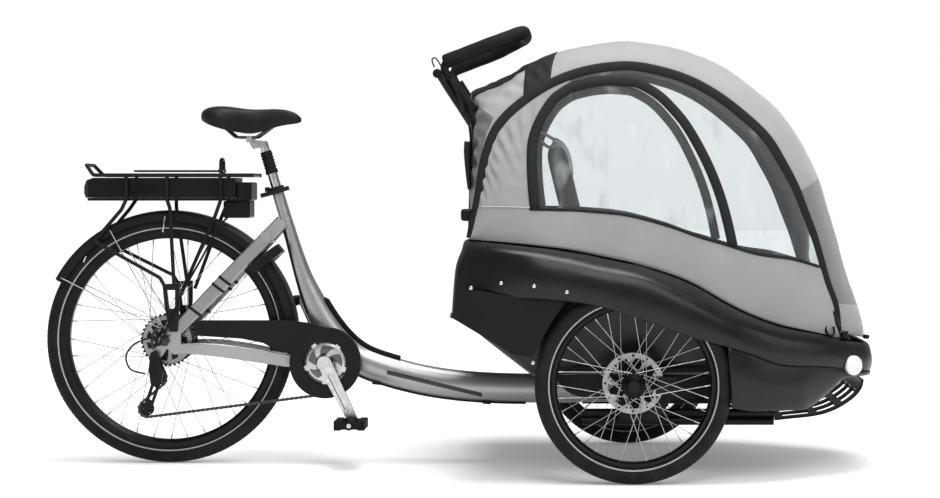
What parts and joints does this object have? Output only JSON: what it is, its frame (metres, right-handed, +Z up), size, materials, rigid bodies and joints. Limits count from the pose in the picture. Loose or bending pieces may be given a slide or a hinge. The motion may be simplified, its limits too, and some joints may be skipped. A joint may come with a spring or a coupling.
{
  "type": "front-loading cargo tricycle",
  "caption": "Pedal-assist cargo tricycle with a hooded child cabin and plastic tub between two front wheels, a flowing tube frame, rear rack battery and bow handlebar.",
  "frame": {"origin": "on the ground, under the middle of the whole tricycle", "axes": "+X points forward, +Y to the rider's left, +Z up; the chain side faces -Y"},
  "size_m": [2.242, 0.896, 1.1835],
  "materials": {
    "frame_paint": "silver metallic, satin",
    "black_paint": "satin black powder coat",
    "black_plastic": "fine-grained, soft sheen",
    "tub_plastic": "rotomoulded, soft sheen",
    "tyre_rubber": "matt",
    "rubber": "matt",
    "grip_foam": "closed-cell foam",
    "rim_metal": "black anodised",
    "spoke_steel": "polished",
    "steel": "machined",
    "chain_steel": "oiled",
    "alloy": "polished",
    "hub_black": "satin black",
    "saddle_cover": "synthetic, fine grain",
    "seat_fabric": "woven",
    "hood_cloth": "coated woven polyester",
    "clear_sheet": "clear flexible PVC",
    "hoop_black": "black",
    "lamp_lens": "white translucent"
  },
  "bodies": {
    "rear_frame": {"main_frame": "frame_paint", "frame_guard_strip": "rubber", "rear_fender": "black_plastic", "fender_stays": "spoke_steel", "rear_rack": "black_paint", "battery_cradle": "black_plastic", "chain_case": "black_plastic", "drive_chain": "chain_steel", "bottom_bracket_cups": "steel", "rear_axle": "steel", "seat_clamp": "black_paint", "ring_lock": "black_plastic", "derailleur_body": "black_paint", "headset_bearings": "steel"},
    "rack_clamp": {"rack_clamp": "black_paint"},
    "battery": {"battery": "black_plastic"},
    "seat_clamp_lever": {"seat_clamp_lever": "black_paint"},
    "derailleur_cage": {"derailleur_cage": "black_paint"},
    "guide_pulley": {"guide_pulley": "black_plastic"},
    "tension_pulley": {"tension_pulley": "black_plastic"},
    "cassette": {"cassette": "steel"},
    "rear_wheel": {"rear_tyre": "tyre_rubber", "rear_rim": "rim_metal", "rear_spokes": "spoke_steel", "rear_hub": "hub_black"},
    "seatpost": {"seatpost": "alloy", "seatpost_boot": "rubber"},
    "saddle": {"seatpost_head": "alloy", "saddle_rails": "steel", "saddle": "saddle_cover"},
    "crankset": {"right_crank": "alloy", "left_crank": "alloy", "crank_spindle": "steel"},
    "right_pedal": {"right_pedal": "rubber"},
    "left_pedal": {"left_pedal": "rubber"},
    "cabin": {"chassis": "black_paint", "cabin_tub": "tub_plastic", "wheel_skirts": "tub_plastic", "skirt_screws": "steel", "side_lamps": "lamp_lens", "bumper": "black_plastic", "seat_cushion": "seat_fabric", "seat_back": "seat_fabric", "hood_hoops": "hoop_black", "hood_fabric": "hood_cloth", "hood_windows": "clear_sheet", "handlebar": "black_paint", "handlebar_foam": "grip_foam", "bell": "hub_black", "front_calipers": "black_paint"},
    "front_right_wheel": {"front_right_tyre": "tyre_rubber", "front_right_rim": "rim_metal", "front_right_spokes": "spoke_steel", "front_right_hub": "hub_black"},
    "front_left_wheel": {"front_left_tyre": "tyre_rubber", "front_left_rim": "rim_metal", "front_left_spokes": "spoke_steel", "front_left_hub": "hub_black"},
    "brake_lever_right": {"brake_lever_right": "black_paint"},
    "brake_lever_left": {"brake_lever_left": "black_paint"}
  },
  "joints": [
    {"name": "steering_turn", "type": "hinge", "parent": "rear_frame", "child": "cabin", "pos_m": [0.47, 0, 0.204], "axis": [0, 0, 1], "range_deg": [-40, 40]},
    {"name": "rear_wheel_spin", "type": "hinge", "parent": "rear_frame", "child": "rear_wheel", "pos_m": [-0.784, 0, 0.337], "axis": [0, 1, 0], "continuous": true},
    {"name": "front_right_wheel_spin", "type": "hinge", "parent": "cabin", "child": "front_right_wheel", "pos_m": [0.47, -0.4, 0.25], "axis": [0, 1, 0], "continuous": true},
    {"name": "front_left_wheel_spin", "type": "hinge", "parent": "cabin", "child": "front_left_wheel", "pos_m": [0.47, 0.4, 0.25], "axis": [0, 1, 0], "continuous": true},
    {"name": "crank_spin", "type": "hinge", "parent": "rear_frame", "child": "crankset", "pos_m": [-0.354, 0, 0.277], "axis": [0, 1, 0], "continuous": true},
    {"name": "cassette_spin", "type": "hinge", "parent": "rear_frame", "child": "cassette", "pos_m": [-0.784, -0.056, 0.337], "axis": [0, 1, 0], "continuous": true},
    {"name": "right_pedal_spin", "type": "hinge", "parent": "crankset", "child": "right_pedal", "pos_m": [-0.27564, -0.137, 0.12052], "axis": [0, 1, 0], "continuous": true},
    {"name": "left_pedal_spin", "type": "hinge", "parent": "crankset", "child": "left_pedal", "pos_m": [-0.43236, 0.137, 0.43348], "axis": [0, 1, 0], "continuous": true},
    {"name": "derailleur_cage_swing", "type": "hinge", "parent": "rear_frame", "child": "derailleur_cage", "pos_m": [-0.806, -0.06, 0.235], "axis": [0, 1, 0], "range_deg": [-4, 4], "deforming": ["drive_chain"]},
    {"name": "guide_pulley_spin", "type": "hinge", "parent": "derailleur_cage", "child": "guide_pulley", "pos_m": [-0.806, -0.0606, 0.235], "axis": [0, 1, 0], "continuous": true},
    {"name": "tension_pulley_spin", "type": "hinge", "parent": "derailleur_cage", "child": "tension_pulley", "pos_m": [-0.8345, -0.0606, 0.1526], "axis": [0, 1, 0], "continuous": true},
    {"name": "seatpost_slide", "type": "slide", "parent": "rear_frame", "child": "seatpost", "axis": [-0.2857, 0, 0.9583], "range_m": [-0.025, 0.09]},
    {"name": "saddle_suspension", "type": "slide", "parent": "seatpost", "child": "saddle", "axis": [-0.2857, 0, 0.9583], "range_m": [-0.02, 0], "deforming": ["seatpost_boot"]},
    {"name": "seat_clamp_open", "type": "hinge", "parent": "rear_frame", "child": "seat_clamp_lever", "pos_m": [-0.52, 0, 0.74], "axis": [0, 0, 1], "range_deg": [-75, 0]},
    {"name": "rack_clamp_lift", "type": "hinge", "parent": "rear_frame", "child": "rack_clamp", "pos_m": [-0.644, 0, 0.795], "axis": [0, 1, 0], "range_deg": [0, 60]},
    {"name": "battery_slide", "type": "slide", "parent": "rear_frame", "child": "battery", "axis": [-1, 0, 0], "range_m": [0, 0.3]},
    {"name": "brake_right_pull", "type": "hinge", "parent": "cabin", "child": "brake_lever_right", "pos_m": [-0.008, -0.187, 1.04], "axis": [0, 1, 0], "range_deg": [0, 12]},
    {"name": "brake_left_pull", "type": "hinge", "parent": "cabin", "child": "brake_lever_left", "pos_m": [-0.008, 0.187, 1.04], "axis": [0, 1, 0], "range_deg": [0, 12]}
  ],
  "couplings": [
    {"joint": "cassette_spin", "follows": "crank_spin", "ratio": 2.2105},
    {"joint": "guide_pulley_spin", "follows": "crank_spin", "ratio": -3.8182},
    {"joint": "tension_pulley_spin", "follows": "crank_spin", "ratio": 3.8182}
  ]
}
